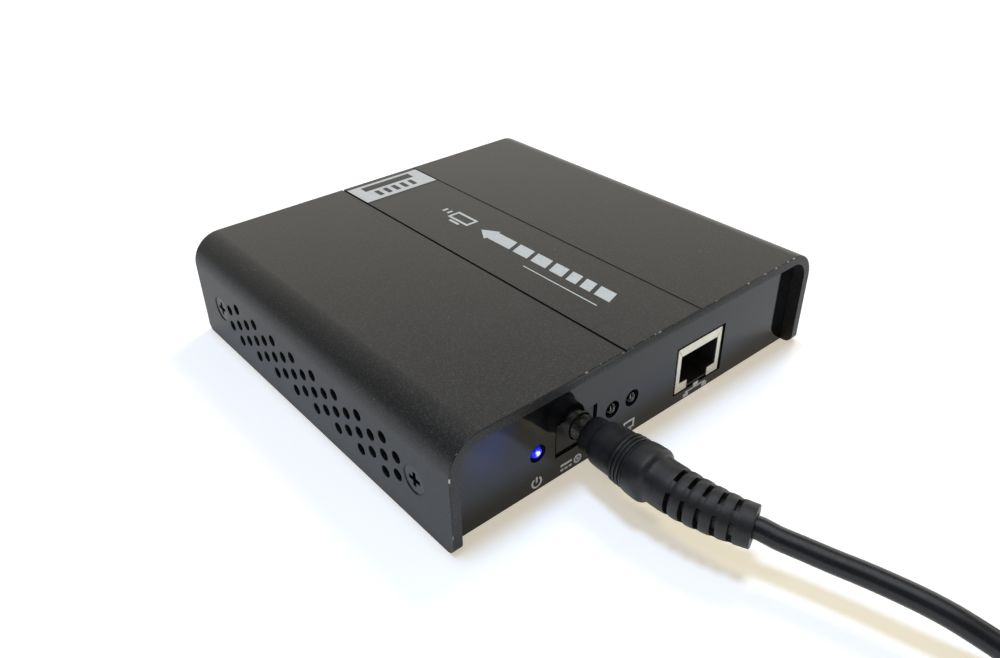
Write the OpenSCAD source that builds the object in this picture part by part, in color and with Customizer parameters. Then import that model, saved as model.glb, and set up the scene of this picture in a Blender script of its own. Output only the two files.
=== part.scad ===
/* [Case] */
// Width of the case over its side walls
case_w = 104; // [98:1:130]
// Depth of the case, front edge to back edge
case_d = 100; // [94:1:130]
// Height of the case
case_h = 25; // [22:0.5:40]
// Thickness of the extruded cover
cover_wall = 2.1; // [1.8:0.1:3]
// Outer radius of the cover's two long top edges
cover_corner_r = 7; // [5:0.5:9]
// Radius of the side walls' lower corners
cover_foot_r = 2; // [0.5:0.5:2.5]
// Depth from the case's edge to the face of each end panel
panel_recess = 2.9; // [1.5:0.1:5]
// Clearance between the cover and what slides into it
fit_gap = 0.15; // [0.1:0.05:0.3]
// Distance between the two grooves along the top
groove_spacing = 22.2; // [10:0.1:40]
// Offset of the pair of grooves from the middle
groove_shift = 1; // [-3:0.05:3]
// Width of a groove
groove_w = 0.6; // [0.3:0.1:1.2]
// Depth of a groove
groove_depth = 0.4; // [0.2:0.1:0.8]

/* [Side vents] */
// Diameter of a vent hole
vent_d = 2.6; // [1.5:0.1:2.9]
// Holes in a long row
vent_columns = 9; // [3:1:9]
// Distance between holes in a row, as a share of the case's depth
vent_step_share = 0.0845; // [0.05:0.0005:0.086]
// Distance between rows
vent_row_step = 2.1; // [1.7:0.1:2.4]
// Height of the middle row
vent_z = 10.4; // [9.5:0.1:11.5]

/* [Cover screws] */
// Thread diameter of a cover screw
cover_screw_d = 3; // [2.5:0.5:3]
// Diameter of its countersunk head
cover_screw_head_d = 5.9; // [5:0.1:6.2]
// Length of a cover screw over its head
cover_screw_length = 6; // [5:0.5:8]
// Distance from the case's ends to the screws
cover_screw_inset = 11; // [9:0.5:12]
// Height of the screws
cover_screw_z = 10.6; // [9.5:0.1:12]

/* [Tray and end panels] */
// Thickness of the folded tray
tray_t = 1; // [0.8:0.1:1.2]
// Thickness of the glossy film on each end
film_t = 0.4; // [0.2:0.1:0.6]
// Width of the ears that take the cover screws
ear_w = 7; // [6:0.5:8]
// Height of the ears
ear_h = 15; // [14.5:0.5:17]

/* [Circuit board] */
// Thickness of the board
board_t = 1.2; // [1:0.1:1.6]
// Height of the board's spacers over the tray
spacer_h = 0.9; // [0.8:0.1:2]
// Thread diameter of a board screw
board_screw_d = 2.5; // [2:0.5:3]
// Gap from the board to the tray's ends
board_end_gap = 0.4; // [0.2:0.1:1]
// Gap from the board to the cover's side walls
board_side_gap = 4; // [3:0.5:6]

/* [Indicator lamps] */
// Diameter of a lamp's lens
lamp_d = 3.1; // [2.8:0.1:3.2]
// Diameter of the hole that a lamp shows in
lamp_hole_d = 3.9; // [3.6:0.1:4.4]
// Height of the lamps
lamp_z = 9.1; // [8:0.1:11]
// Place of the power lamp across the front, as a share of the case's width
power_lamp_share = -0.2835; // [-0.33:0.0005:-0.28]
// Place of the first status lamp across the front, as a share of the case's width
status_lamp_share = -0.0905; // [-0.095:0.0005:-0.08]
// Distance between the two status lamps
status_lamp_step = 5.75; // [5:0.05:7]

/* [Power jack] */
// Place of the jack's bore across the front, as a share of the case's width
jack_share = -0.174; // [-0.183:0.001:-0.17]
// Height of the jack's bore over the board
jack_over_board = 6.2; // [6:0.1:7]
// Diameter of the jack's bore
jack_bore_d = 6.1; // [6:0.1:6.4]
// Diameter of the jack's centre pin
jack_pin_d = 2; // [1.9:0.05:2]
// Gap round the jack in the front panel
jack_gap = 0.6; // [0.3:0.1:0.8]

/* [Network socket] */
// Place of the socket across the front, as a share of the case's width
net_share = 0.166; // [0.14:0.002:0.23]
// Width of the socket's shield
net_w = 14.5; // [14:0.1:16]
// Height of the socket's shield
net_h = 11.4; // [11.2:0.1:13]
// Depth of the socket's shield
net_d = 15.5; // [14:0.5:20]
// Width of the plug opening
net_open_w = 11.8; // [11.7:0.1:12]
// Height of the plug opening
net_open_h = 7; // [6.8:0.1:7.4]
// Gap on the right of the socket in the front panel
net_gap = 1.4; // [0.8:0.1:1.6]

/* [Picture socket] */
// Place of the picture socket across the back
picture_x = 0; // [-20:1:20]
// Width inside the picture socket's shell
picture_w = 14; // [13.9:0.1:14.2]
// Height inside the picture socket's shell
picture_h = 4.55; // [4.5:0.05:4.7]

/* [Power plug] */
// Outer diameter of the plug's barrel
barrel_d = 5.5; // [5.4:0.05:5.5]
// Length of the barrel in front of the grip
barrel_length = 10; // [9.5:0.5:12]
// Length of barrel left bare when the plug is home
barrel_bare = 2.9; // [2:0.1:3.5]
// Bore of the plug's inner contact
contact_bore_d = 2.15; // [2.1:0.05:2.2]
// Largest diameter of the grip
grip_d = 11; // [10:0.1:12]
// Length of the grip up to its strain relief
grip_length = 18; // [16:0.5:22]
// How far the plug pulls out
plug_travel = 12; // [8:1:15]

/* [Power lead] */
// Diameter of the cord
cord_d = 4.1; // [3.6:0.1:4.2]
// Turns of the coil in each of its two layers
coil_turns = 4; // [2:1:4]
// Free gap between turns that lie side by side
coil_gap = 0.5; // [0.45:0.05:0.8]

/* [Hidden] */
$fn = 48;

// Overrun of cutting shapes, and the slack between parts pressed or screwed together
cut = 0.5;
slip = 0.05;

// Inside of the cover
inner_w = case_w - 2 * cover_wall;
inner_h = case_h - cover_wall;
inner_r = cover_corner_r - cover_wall;

// End panels, counted from the middle of the case
film_y = case_d / 2 - panel_recess;
wall_y = film_y - film_t;
wall_in_y = wall_y - tray_t;
tray_w = inner_w - 2 * fit_gap;
tray_h = inner_h - fit_gap;
tray_r = inner_r - fit_gap;

// Circuit board
board_z = tray_t + spacer_h;
board_top = board_z + board_t;
board_w = inner_w - 2 * board_side_gap;
board_d = 2 * (wall_in_y - board_end_gap);
board_hole_inset = 5;
board_hole_x = board_w / 2 - board_hole_inset;
board_hole_y = board_d / 2 - board_hole_inset;
spacer_d = board_screw_d + 2.6;
spigot_d = board_screw_d + 1.6;
board_head_d = 1.8 * board_screw_d;
board_head_h = 0.6 * board_screw_d;
recess_w = 0.3 * board_screw_d;
recess_length = 1.1 * board_screw_d;

// Cover screws
cover_screw_y = case_d / 2 - cover_screw_inset;
sink_edge = 0.2;
cross_w = 0.3 * cover_screw_d;
cross_length = 1.1 * cover_screw_d;
cross_depth = 0.4 * cover_screw_d;

// Power jack, as seen from the front
jack_x = jack_share * case_w;
jack_z = board_top + jack_over_board;
jack_bore_r = jack_bore_d / 2;
jack_side_wall = 0.55;
jack_contact_side = 3.25;
jack_left = jack_x - jack_bore_r - jack_contact_side;
jack_right = jack_x + jack_bore_r + jack_side_wall;
jack_top = jack_z + jack_bore_r + jack_side_wall;
jack_under = 0.5;
jack_collar_z = jack_z - jack_bore_r - jack_under;
jack_recess = 0.4;
jack_face_y = film_y - jack_recess;
jack_seat_gap = 0.3;
jack_bore_depth = barrel_length - barrel_bare + jack_seat_gap;
jack_back_wall = 2.5;
jack_pin_back = 1;
spring_w = 2.2;
spring_t = 0.3;
spring_gap = 0.12;
spring_length = 5;
spring_drop = 0.9;

// Network socket
net_x = net_share * case_w;
net_shield_t = 0.3;
net_proud = 0.25;
net_face_y = film_y + net_proud;
net_z = board_top;
net_band_h = 2.2;
net_window_side = 0.15;
net_notch_w = 6.8;
net_notch_h = 1.8;
net_cavity_d = 11.5;
net_notch_d = 9;
net_peg_d = 3.2;
net_peg_h = 0.9 * board_t;
net_peg_spacing = 8.9;
net_peg_back = 0.6;
wire_count = 8;
wire_pitch = 1.02;
wire_w = 0.4;
wire_t = 0.35;
wire_start = 1.5;
wire_root = 1.6;
wire_reach = 8;
wire_drop = 2;

// Indicator lamps
power_lamp_x = power_lamp_share * case_w;
status_lamp_x = status_lamp_share * case_w;
lamp_proud = 0.3;
lamp_length = 4.8;
lamp_flange_d = lamp_d + 0.8;
lamp_flange_t = 1;
lamp_dome_y = film_y + lamp_proud - lamp_d / 2;
lamp_back_y = film_y + lamp_proud - lamp_length;
holder_w = 4.4;
holder_d = 4.5;
holder_over = 0.4;
leg_w = 0.5;
leg_pitch = 2.54;
leg_gap = 0.15;
leg_under = 0.5;
lamp_xs = [power_lamp_x, status_lamp_x, status_lamp_x + status_lamp_step];

// Picture socket
picture_t = 0.3;
picture_recess = 0.3;
picture_d = 12;
picture_face_y = film_y - picture_recess;
picture_gap = 0.35;
picture_shoulder_share = 0.6;
picture_foot_share = 0.66;
picture_back_t = 4;
tongue_w = 11.2;
tongue_t = 1;
tongue_length = 6.5;
pad_w = 0.3;
pad_t = 0.1;
pad_step = 1;
pad_length = 4;

// Parts on the board, each as [x, y] shares of the board's width and depth
receiver_at_share = [0.02, 0.1];
network_at_share = [0.26, -0.08];
transformer_at_share = [0.18, -0.24];
coils_at_share = [[-0.36, -0.12], [-0.36, 0.02]];
capacitors_at_share = [[-0.22, -0.17], [-0.36, 0.17], [-0.22, 0.33]];
crystals_at_share = [[0.3, 0.12], [-0.06, 0.33]];
regulator_at_share = [-0.2, -0.06];
memory_at_share = [0.26, 0.26];
small_rows_share = [-0.16, 0.235];
chip_side = 17;
chip_t = 1.5;
sink_side = 20;
sink_base = 2;
sink_h = 8;
sink_fins = 7;
fin_t = 1;
network_side = 12;
network_t = 1.2;
transformer_size = [17.5, 9, 6];
coil_part_side = 7;
coil_part_h = 4;
coil_part_well = 0.6;
can_d = 6.3;
can_h = 7;
can_base_h = 0.8;
can_base_side = 6.6;
can_score_w = 0.4;
crystal_size = [11.4, 4.7, 3.5];
regulator_size = [6.5, 3.5, 1.7];
regulator_tab = [3, 1.8, 0.4];
memory_size = [5, 4, 1.6];
small_size = [1.6, 0.8, 0.6];
small_count = 8;
small_step = 3.2;

// Label on the top, between the grooves
label_t = 0.1;
label_w = groove_spacing - groove_w;
label_d = 9.7;
label_inset = 1.9;

// Power plug, with its axis along the jack's; the grip's nose is where the bare barrel ends
barrel_r = barrel_d / 2;
barrel_wall = 0.5;
nose_y = -jack_face_y - barrel_bare;
contact_wall = 0.36;
contact_out_r = contact_bore_d / 2 + contact_wall;
barrel_in_grip = 5;
contact_in_grip = 6;
tip_lip = 0.3;
tip_hole_r = contact_bore_d / 2 + 0.15;
contact_back = 1;
grip_r = grip_d / 2;
// Grip outline, as [distance behind the nose, radius] shares of its length and largest radius
grip_outline_shares = [[0, 0.63], [0.02, 0.69], [0.155, 0.715], [0.22, 0.845], [0.48, 0.875],
    [0.51, 0.93], [0.7, 0.985], [0.86, 1], [0.89, 0.985], [0.945, 0.85], [1, 0.8]];
grip_rings_share = [0.55, 0.598, 0.646];
grip_ring_w = 0.35;
grip_ring_depth = 0.25;

// Strain relief: six barrels on one core, bent to the side by the pull of the cord
relief_length = 17.6;
relief_bend = 21.6;
relief_parts = 6;
relief_neck = 3.7;
relief_step = 2.7;
relief_start_r = 0.84 * grip_r;
relief_end_r = 3.9;
relief_core_r = 2.9;
relief_slot_w = 0.9;
relief_slot_depth = 0.2;
relief_windows = [4.8, 2.8];
relief_roll = 4;
relief_overlap = 0.2;
relief_start_y = nose_y - grip_length;
relief_arc_r = relief_length / (relief_bend * PI / 180);

// Cord: its points from the strain relief to the coil
cord_r = cord_d / 2;
lead_points = [[-13.6, -88.4, 8.8], [-12.3, -92.2, 8.55], [-10.9, -97, 8.42], [-9.6, -101.6, 8.48],
    [-8.5, -106, 8.47], [-7.4, -110.5, 8.3], [-6.3, -114.8, 7.7], [-5.1, -119.2, 6.5],
    [-4, -124, 5.2], [-3.2, -129, 4.1], [-2.6, -134.5, 3.2], [-1.8, -140.5, 2.7],
    [-0.8, -147, 2.6]];
// Coil, wound from outside to inside in the lower layer and out again in the upper one
coil_at = [31, -146];
coil_mean_r = 22;
coil_start_angle = 195;
coil_end_angle = 165;
coil_steps = 24;
coil_sides = 6;
cord_sides = 8;
tie_t = 0.5;
tie_w = 4;
tie_gap = 0.1;
tie_angle = coil_start_angle - 180;
coil_z = tie_t + tie_gap + cord_r;
coil_pitch = cord_d + coil_gap;
coil_in_r = coil_mean_r - coil_turns / 2 * coil_pitch;
coil_total = 2 * coil_turns - (coil_start_angle - coil_end_angle) / 360;
// Cord: its points from the coil to the far plug
tail_points = [[-0.9, -145.5, 7.1], [-2.1, -149.5, 6.8], [-3.2, -154, 6], [-4.1, -158.5, 5],
    [-4.6, -162.5, 4.3], [-4.7, -167, 4]];
usb_at = [-4.7, -171, 4];
usb_relief_length = 8;
usb_relief_r = 3.4;
usb_grip = [15.5, 20, 8];
usb_grip_r = 2.5;
usb_shell_w = 12;
usb_shell_h = 4.5;
usb_shell_t = 0.3;
usb_shell_length = 12;
usb_shell_in_grip = 4;
usb_insert_t = 1.9;
usb_pad = [1, 8, 0.1];
usb_pad_step = 2.4;

function unit(v) = v / norm(v);
// Place on the strain relief's arc at a distance along it, and the way it heads there
function relief_at(s) = let (a = relief_bend * s / relief_length)
    [jack_x + relief_arc_r * (1 - cos(a)), relief_start_y - relief_arc_r * sin(a), jack_z];
function relief_way(s) = relief_bend * s / relief_length;
function smooth(t) = t <= 0 ? 0 : t >= 1 ? 1 : t * t * (3 - 2 * t);
// Place on the coil after a number of turns
function coil_point(t) = let (a = coil_start_angle + 360 * t,
        r = coil_in_r + coil_pitch * abs(t - coil_turns),
        climb = smooth((t - coil_turns + 0.25) / 0.5))
    [coil_at[0] + r * cos(a), coil_at[1] + r * sin(a), coil_z + coil_pitch * climb];
function coil_way(t) = let (a = coil_start_angle + 360 * t) [-sin(a), cos(a), 0];
coil_path = concat(
    [coil_point(0), coil_point(0) + cord_d * coil_way(0)],
    [for (i = [2 : 1 : floor(coil_total * coil_steps) - 1]) coil_point(i / coil_steps)],
    [coil_point(coil_total) - cord_d * coil_way(coil_total), coil_point(coil_total)]);
// The last barrel is straight, so its middle sets the way that the cord leaves it
relief_last = relief_neck + (relief_parts - 2) * relief_step;
exit_turn = relief_way((relief_last + relief_length) / 2);
exit_way = [sin(exit_turn), -cos(exit_turn), 0];
relief_exit = relief_at(relief_last) + (relief_length - relief_last) * exit_way;
lead_path = concat([relief_exit, relief_exit + cord_d / 2 * exit_way], lead_points,
    [coil_point(0) - cord_d * coil_way(0), coil_point(0)]);
tail_path = concat([coil_point(coil_total), coil_point(coil_total) + cord_d / 2 * coil_way(coil_total)],
    tail_points, [usb_at]);

// Way that a path heads at each of its points
function path_way(p, i) = i == 0 ? unit(p[1] - p[0]) : i == len(p) - 1 ? unit(p[i] - p[i - 1])
    : unit(unit(p[i] - p[i - 1]) + unit(p[i + 1] - p[i]));
function path_ring(p, i, r, sides) = let (w = path_way(p, i), side = unit(cross(w, [0, 0, 1])),
        up = cross(side, w))
    [for (k = [0 : sides - 1]) let (a = 360 * (k + 0.5) / sides) p[i] + r * (cos(a) * side + sin(a) * up)];
function path_length(p, i = 1) = i >= len(p) ? 0 : norm(p[i] - p[i - 1]) + path_length(p, i + 1);
// Least gap of the coil to itself, between points over a third of a turn apart
function coil_least() = min([for (i = [0 : len(coil_path) - 1], j = [i + 9 : 1 : len(coil_path) - 1])
    norm(coil_path[i] - coil_path[j])]) - cord_d;

// Solid tube along a path, as one closed mesh of triangles
module tube(p, r, sides) {
    rings = [for (i = [0 : len(p) - 1]) each path_ring(p, i, r, sides)];
    last = (len(p) - 1) * sides;
    faces = concat(
        [for (i = [0 : len(p) - 2], k = [0 : sides - 1]) each let (a = i * sides + k,
            b = i * sides + (k + 1) % sides) [[a, a + sides, b], [b, a + sides, b + sides]]],
        [for (k = [1 : sides - 2]) [0, k, k + 1]],
        [for (k = [1 : sides - 2]) [last, last + k + 1, last + k]]);
    polyhedron(rings, faces);
}

// Outline with two round upper corners
module arch(w, h, r) {
    translate([-w / 2, 0]) square([w, h - r]);
    translate([-w / 2 + r, 0]) square([w - 2 * r, h]);
    for (side = [-1, 1]) translate([side * (w / 2 - r), h - r]) circle(r);
}

// Outline with four round corners, about its middle
module round_rect(w, h, r) {
    square([w, h - 2 * r], center = true);
    square([w - 2 * r, h], center = true);
    for (x = [-1, 1], y = [-1, 1]) translate([x * (w / 2 - r), y * (h / 2 - r)]) circle(r);
}

// Extrusion of an outline in X and Z, from one depth to another
module along_y(from_y, to_y) {
    translate([0, to_y, 0]) rotate([90, 0, 0]) linear_extrude(to_y - from_y) children();
}

// Box between two corners
module between(low, high) {
    translate(low) cube(high - low);
}

// Box of a size that stands on a place
module standing(size, at) {
    translate([at[0] - size[0] / 2, at[1] - size[1] / 2, at[2]]) cube(size);
}

// Rod along Y about a place, from one depth to another
module rod_y(r, x, z, from_y, to_y) {
    translate([x, to_y, z]) rotate([90, 0, 0]) cylinder(r = r, h = to_y - from_y);
}

function on_board(share) = [share[0] * board_w, share[1] * board_d, board_top];

// Places of the vent holes in one side wall
function vent_count(row) = row % 2 == 0 ? vent_columns - 1 : vent_columns;
vent_rows = 5;
vent_step = vent_step_share * case_d;
vent_places = [for (row = [0 : vent_rows - 1], i = [0 : vent_count(row) - 1])
    [(i - (vent_count(row) - 1) / 2) * vent_step, vent_z + (row - (vent_rows - 1) / 2) * vent_row_step]];

module foot_cut() {
    rotate([90, 0, 90]) linear_extrude(case_w + 2 * cut, center = true)
        for (side = [-1, 1]) difference() {
            translate([side * (case_d / 2 - cover_foot_r / 2 + cut / 2), cover_foot_r / 2 - cut / 2])
                square(cover_foot_r + cut, center = true);
            translate([side * (case_d / 2 - cover_foot_r), cover_foot_r]) circle(cover_foot_r);
        }
}

module cover_screw_hole() {
    head_r = cover_screw_head_d / 2 + sink_edge;
    shank_r = cover_screw_d / 2 + slip;
    translate([0, 0, -cover_wall - cut]) cylinder(r = shank_r, h = cover_wall + 2 * cut);
    translate([0, 0, -(head_r - shank_r)]) cylinder(r1 = shank_r, r2 = head_r, h = head_r - shank_r);
    cylinder(r = head_r, h = cut);
}

module top_cover() {
    color([0.3, 0.3, 0.3]) difference() {
        along_y(-case_d / 2, case_d / 2) arch(case_w, case_h, cover_corner_r);
        along_y(-case_d / 2 - cut, case_d / 2 + cut) translate([0, -cut]) arch(inner_w, inner_h + cut, inner_r);
        foot_cut();
        for (side = [-1, 1])
            standing([groove_w, case_d + 2 * cut, groove_depth + cut],
                [groove_shift + side * groove_spacing / 2, 0, case_h - groove_depth]);
        for (side = [-1, 1], p = vent_places)
            translate([side * (case_w / 2 + cut), p[0], p[1]]) rotate([0, -side * 90, 0])
                cylinder(d = vent_d, h = cover_wall + 2 * cut);
        for (side = [-1, 1], y = [-1, 1])
            translate([side * case_w / 2, y * cover_screw_y, cover_screw_z]) rotate([0, side * 90, 0])
                cover_screw_hole();
    }
}

module cover_screw() {
    head_r = cover_screw_head_d / 2;
    shank_r = cover_screw_d / 2;
    head_h = head_r - shank_r;
    difference() {
        translate([0, 0, -sink_edge]) union() {
            translate([0, 0, -head_h]) cylinder(r1 = shank_r, r2 = head_r, h = head_h);
            translate([0, 0, -cover_screw_length]) cylinder(r = shank_r, h = cover_screw_length - head_h);
        }
        for (turn = [0, 90]) rotate(turn)
            standing([cross_length, cross_w, cross_depth + cut], [0, 0, -sink_edge - cross_depth]);
    }
}

module cover_screws() {
    color([0.1, 0.1, 0.11])
        for (side = [-1, 1], y = [-1, 1])
            translate([side * case_w / 2, y * cover_screw_y, cover_screw_z]) rotate([0, side * 90, 0])
                cover_screw();
}

module top_label() {
    color([0.75, 0.75, 0.75])
        standing([label_w, label_d, label_t], [groove_shift, case_d / 2 - label_inset - label_d / 2, case_h]);
}

// Openings of the front panel, cut through both the film and the tray's wall
module front_openings() {
    from_y = -film_y - cut;
    to_y = -wall_in_y + cut;
    for (x = lamp_xs) rod_y(lamp_hole_d / 2, x, lamp_z, from_y, to_y);
    between([jack_left - jack_gap, from_y, jack_collar_z - jack_gap],
        [jack_right + jack_gap, to_y, jack_top + fit_gap]);
    between([net_x - net_w / 2 - fit_gap, from_y, net_z - net_gap / 2],
        [net_x + net_w / 2 + net_gap, to_y, net_z + net_h + fit_gap]);
}

// Outline of the picture socket, grown all round by the same amount on straight and sloping sides
module picture_outline(grow) {
    w = picture_w / 2;
    h = picture_h / 2;
    foot_w = picture_foot_share * w;
    shoulder_h = h - 2 * h * picture_shoulder_share;
    slope = atan2(shoulder_h + h, w - foot_w);
    shoulder = [w + grow, shoulder_h - grow * tan((90 - slope) / 2)];
    foot = [foot_w + grow * tan(slope / 2), -h - grow];
    polygon([[-w - grow, h + grow], [w + grow, h + grow], shoulder, foot, [-foot[0], foot[1]],
        [-shoulder[0], shoulder[1]]]);
}

picture_z = board_top + picture_t + picture_h / 2;

module rear_opening() {
    along_y(wall_in_y - cut, film_y + cut) translate([picture_x, picture_z]) picture_outline(picture_t + picture_gap);
}

module base_tray() {
    color([0.13, 0.13, 0.13]) difference() {
        union() {
            standing([tray_w, 2 * wall_y, tray_t], [0, 0, 0]);
            along_y(-wall_y, -wall_in_y) arch(tray_w, tray_h, tray_r);
            along_y(wall_in_y, wall_y) arch(tray_w, tray_h, tray_r);
            for (side = [-1, 1], y = [-1, 1])
                translate([side * (tray_w / 2 - tray_t / 2), y * cover_screw_y, 0]) rotate([90, 0, 90])
                    linear_extrude(tray_t, center = true) arch(ear_w, ear_h, ear_w / 4);
        }
        front_openings();
        rear_opening();
        for (side = [-1, 1], y = [-1, 1])
            translate([side * (tray_w / 2 - tray_t - cut), y * cover_screw_y, cover_screw_z]) rotate([0, side * 90, 0])
                cylinder(r = cover_screw_d / 2 + slip, h = tray_t + 2 * cut);
        for (x = [-1, 1], y = [-1, 1]) translate([x * board_hole_x, y * board_hole_y, -cut])
            cylinder(r = spigot_d / 2 + slip, h = tray_t + 2 * cut);
    }
}

module front_film() {
    color([0.08, 0.08, 0.09]) difference() {
        along_y(-film_y, -wall_y) arch(tray_w, tray_h, tray_r);
        front_openings();
    }
}

module rear_film() {
    color([0.08, 0.08, 0.09]) difference() {
        along_y(wall_y, film_y) arch(tray_w, tray_h, tray_r);
        rear_opening();
    }
}

module board_spacers() {
    color([0.8, 0.78, 0.7])
        for (x = [-1, 1], y = [-1, 1]) translate([x * board_hole_x, y * board_hole_y, 0]) difference() {
            union() {
                cylinder(d = spigot_d, h = tray_t);
                translate([0, 0, tray_t]) cylinder(d = spacer_d, h = spacer_h);
            }
            translate([0, 0, -cut]) cylinder(r = board_screw_d / 2 + slip, h = board_z + 2 * cut);
        }
}

module board_screws() {
    color([0.75, 0.76, 0.78])
        for (x = [-1, 1], y = [-1, 1]) translate([x * board_hole_x, y * board_hole_y, board_top]) difference() {
            union() {
                cylinder(d = board_head_d, h = board_head_h);
                translate([0, 0, -board_top]) cylinder(d = board_screw_d, h = board_top);
            }
            for (turn = [0, 90]) rotate(turn)
                standing([recess_length, recess_w, board_head_h], [0, 0, board_head_h / 2]);
        }
}

module circuit_board() {
    color([0.05, 0.35, 0.18]) difference() {
        standing([board_w, board_d, board_t], [0, 0, board_z]);
        for (x = [-1, 1], y = [-1, 1]) translate([x * board_hole_x, y * board_hole_y, board_z - cut])
            cylinder(r = board_screw_d / 2 + slip, h = board_t + 2 * cut);
        for (x = lamp_xs, side = [-1, 1])
            standing([leg_w + 2 * leg_gap, leg_w + 2 * leg_gap, board_t + 2 * cut],
                [x + side * leg_pitch / 2, -lamp_back_y + holder_d / 2, board_z - cut]);
        for (side = [-1, 1])
            translate([net_x + side * net_peg_spacing / 2, -net_face_y + net_d * net_peg_back, board_z - cut])
                cylinder(r = net_peg_d / 2 + slip, h = board_t + 2 * cut);
    }
}

module jack_body() {
    back_y = -jack_face_y + jack_bore_depth + jack_back_wall;
    color([0.12, 0.12, 0.12]) difference() {
        union() {
            between([jack_left, -jack_face_y, jack_collar_z], [jack_right, -wall_in_y + board_end_gap, jack_top]);
            between([jack_left, -wall_in_y + board_end_gap, board_top], [jack_right, back_y, jack_top]);
        }
        rod_y(jack_bore_r, jack_x, jack_z, -jack_face_y - cut, -jack_face_y + jack_bore_depth);
        spring_slot();
    }
}

// Channel under the bore for the spring that presses on the barrel
module spring_slot() {
    between([jack_x - spring_w / 2 - slip, -wall_in_y + board_end_gap + jack_back_wall / 4, jack_z - jack_bore_r - spring_drop],
        [jack_x + spring_w / 2 + slip, -jack_face_y + jack_bore_depth, jack_z]);
}

module jack_pin() {
    r = jack_pin_d / 2;
    color([0.85, 0.75, 0.4]) {
        rod_y(r, jack_x, jack_z, -jack_face_y + jack_pin_back + r, -jack_face_y + jack_bore_depth);
        translate([jack_x, -jack_face_y + jack_pin_back + r, jack_z]) sphere(r);
    }
}

module jack_spring() {
    top = jack_z - barrel_r - spring_gap;
    low = jack_z - jack_bore_r - spring_drop;
    back_y = -jack_face_y + jack_bore_depth;
    color([0.8, 0.8, 0.78]) {
        between([jack_x - spring_w / 2, back_y - spring_length, top - spring_t], [jack_x + spring_w / 2, back_y, top]);
        between([jack_x - spring_w / 2, back_y - spring_t, low], [jack_x + spring_w / 2, back_y, top]);
    }
}

module net_shield() {
    t = net_shield_t;
    x0 = net_x - net_w / 2;
    x1 = net_x + net_w / 2;
    y0 = -net_face_y;
    color([0.82, 0.8, 0.74]) difference() {
        between([x0, y0, net_z], [x1, y0 + net_d, net_z + net_h]);
        between([x0 + t, y0 + t, net_z - cut], [x1 - t, y0 + net_d - t, net_z + net_h - t]);
        between([net_x - net_open_w / 2 - net_window_side, y0 - cut, net_z + net_band_h],
            [net_x + net_open_w / 2 + net_window_side, y0 + t + cut, net_z + net_band_h + net_open_h]);
        between([net_x - net_notch_w / 2, y0 - cut, net_z - cut],
            [net_x + net_notch_w / 2, y0 + t + cut, net_z + net_band_h + cut]);
    }
}

module net_insert() {
    t = net_shield_t + slip;
    y0 = -net_face_y + t;
    color([0.1, 0.1, 0.1]) difference() {
        union() {
            between([net_x - net_w / 2 + t, y0, net_z], [net_x + net_w / 2 - t, -net_face_y + net_d - t, net_z + net_h - t]);
            for (side = [-1, 1])
                translate([net_x + side * net_peg_spacing / 2, -net_face_y + net_d * net_peg_back, net_z - net_peg_h])
                    cylinder(d = net_peg_d, h = net_peg_h);
        }
        between([net_x - net_open_w / 2, y0 - cut, net_z + net_band_h],
            [net_x + net_open_w / 2, y0 + net_cavity_d, net_z + net_band_h + net_open_h]);
        between([net_x - net_notch_w / 2, y0 - cut, net_z + net_band_h - net_notch_h],
            [net_x + net_notch_w / 2, y0 + net_notch_d, net_z + net_band_h + cut]);
    }
}

module net_contacts() {
    y0 = -net_face_y + net_shield_t + slip;
    z0 = net_z + net_band_h + net_open_h;
    root_end = wire_start + wire_root;
    tip = wire_start + wire_reach;
    color([0.9, 0.75, 0.3])
        for (i = [0 : wire_count - 1])
            translate([net_x + (i - (wire_count - 1) / 2) * wire_pitch - wire_w / 2, y0, z0]) rotate([90, 0, 90])
                linear_extrude(wire_w) polygon([[wire_start, 0], [root_end, 0], [tip, -wire_drop],
                    [tip, -wire_drop - wire_t], [root_end, -wire_t], [wire_start, -wire_t]]);
}

module lamp(x) {
    r = lamp_d / 2;
    translate([x, -lamp_dome_y, lamp_z]) sphere(r);
    rod_y(r, x, lamp_z, -lamp_dome_y, -lamp_back_y);
    rod_y(lamp_flange_d / 2, x, lamp_z, -lamp_back_y - lamp_flange_t, -lamp_back_y);
}

module power_lamp() {
    color([0.2, 0.3, 1]) lamp(power_lamp_x);
}

module status_lamps() {
    color([0.9, 0.92, 0.92]) for (i = [0, 1]) lamp(status_lamp_x + i * status_lamp_step);
}

module lamp_holders() {
    color([0.1, 0.1, 0.1])
        for (x = lamp_xs)
            standing([holder_w, holder_d, lamp_z - board_top + lamp_flange_d / 2 + holder_over],
                [x, -lamp_back_y + holder_d / 2, board_top]);
}

module lamp_legs() {
    color([0.8, 0.8, 0.8])
        for (x = lamp_xs, side = [-1, 1])
            between([x + side * leg_pitch / 2 - leg_w / 2, -lamp_back_y + holder_d / 2 - leg_w / 2, board_z - leg_under],
                [x + side * leg_pitch / 2 + leg_w / 2, -lamp_back_y + holder_d / 2 + leg_w / 2, board_top]);
}

module picture_shell() {
    color([0.8, 0.8, 0.8]) difference() {
        along_y(picture_face_y - picture_d, picture_face_y) translate([picture_x, picture_z]) picture_outline(picture_t);
        along_y(picture_face_y - picture_d - cut, picture_face_y + cut)
            translate([picture_x, picture_z]) picture_outline(0);
    }
}

module picture_tongue() {
    back_y = picture_face_y - picture_d;
    root_y = back_y + picture_back_t;
    color([0.1, 0.1, 0.1]) {
        along_y(back_y, root_y) translate([picture_x, picture_z]) picture_outline(-slip);
        between([picture_x - tongue_w / 2, root_y, picture_z - tongue_t / 2],
            [picture_x + tongue_w / 2, root_y + tongue_length, picture_z + tongue_t / 2]);
    }
}

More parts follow.
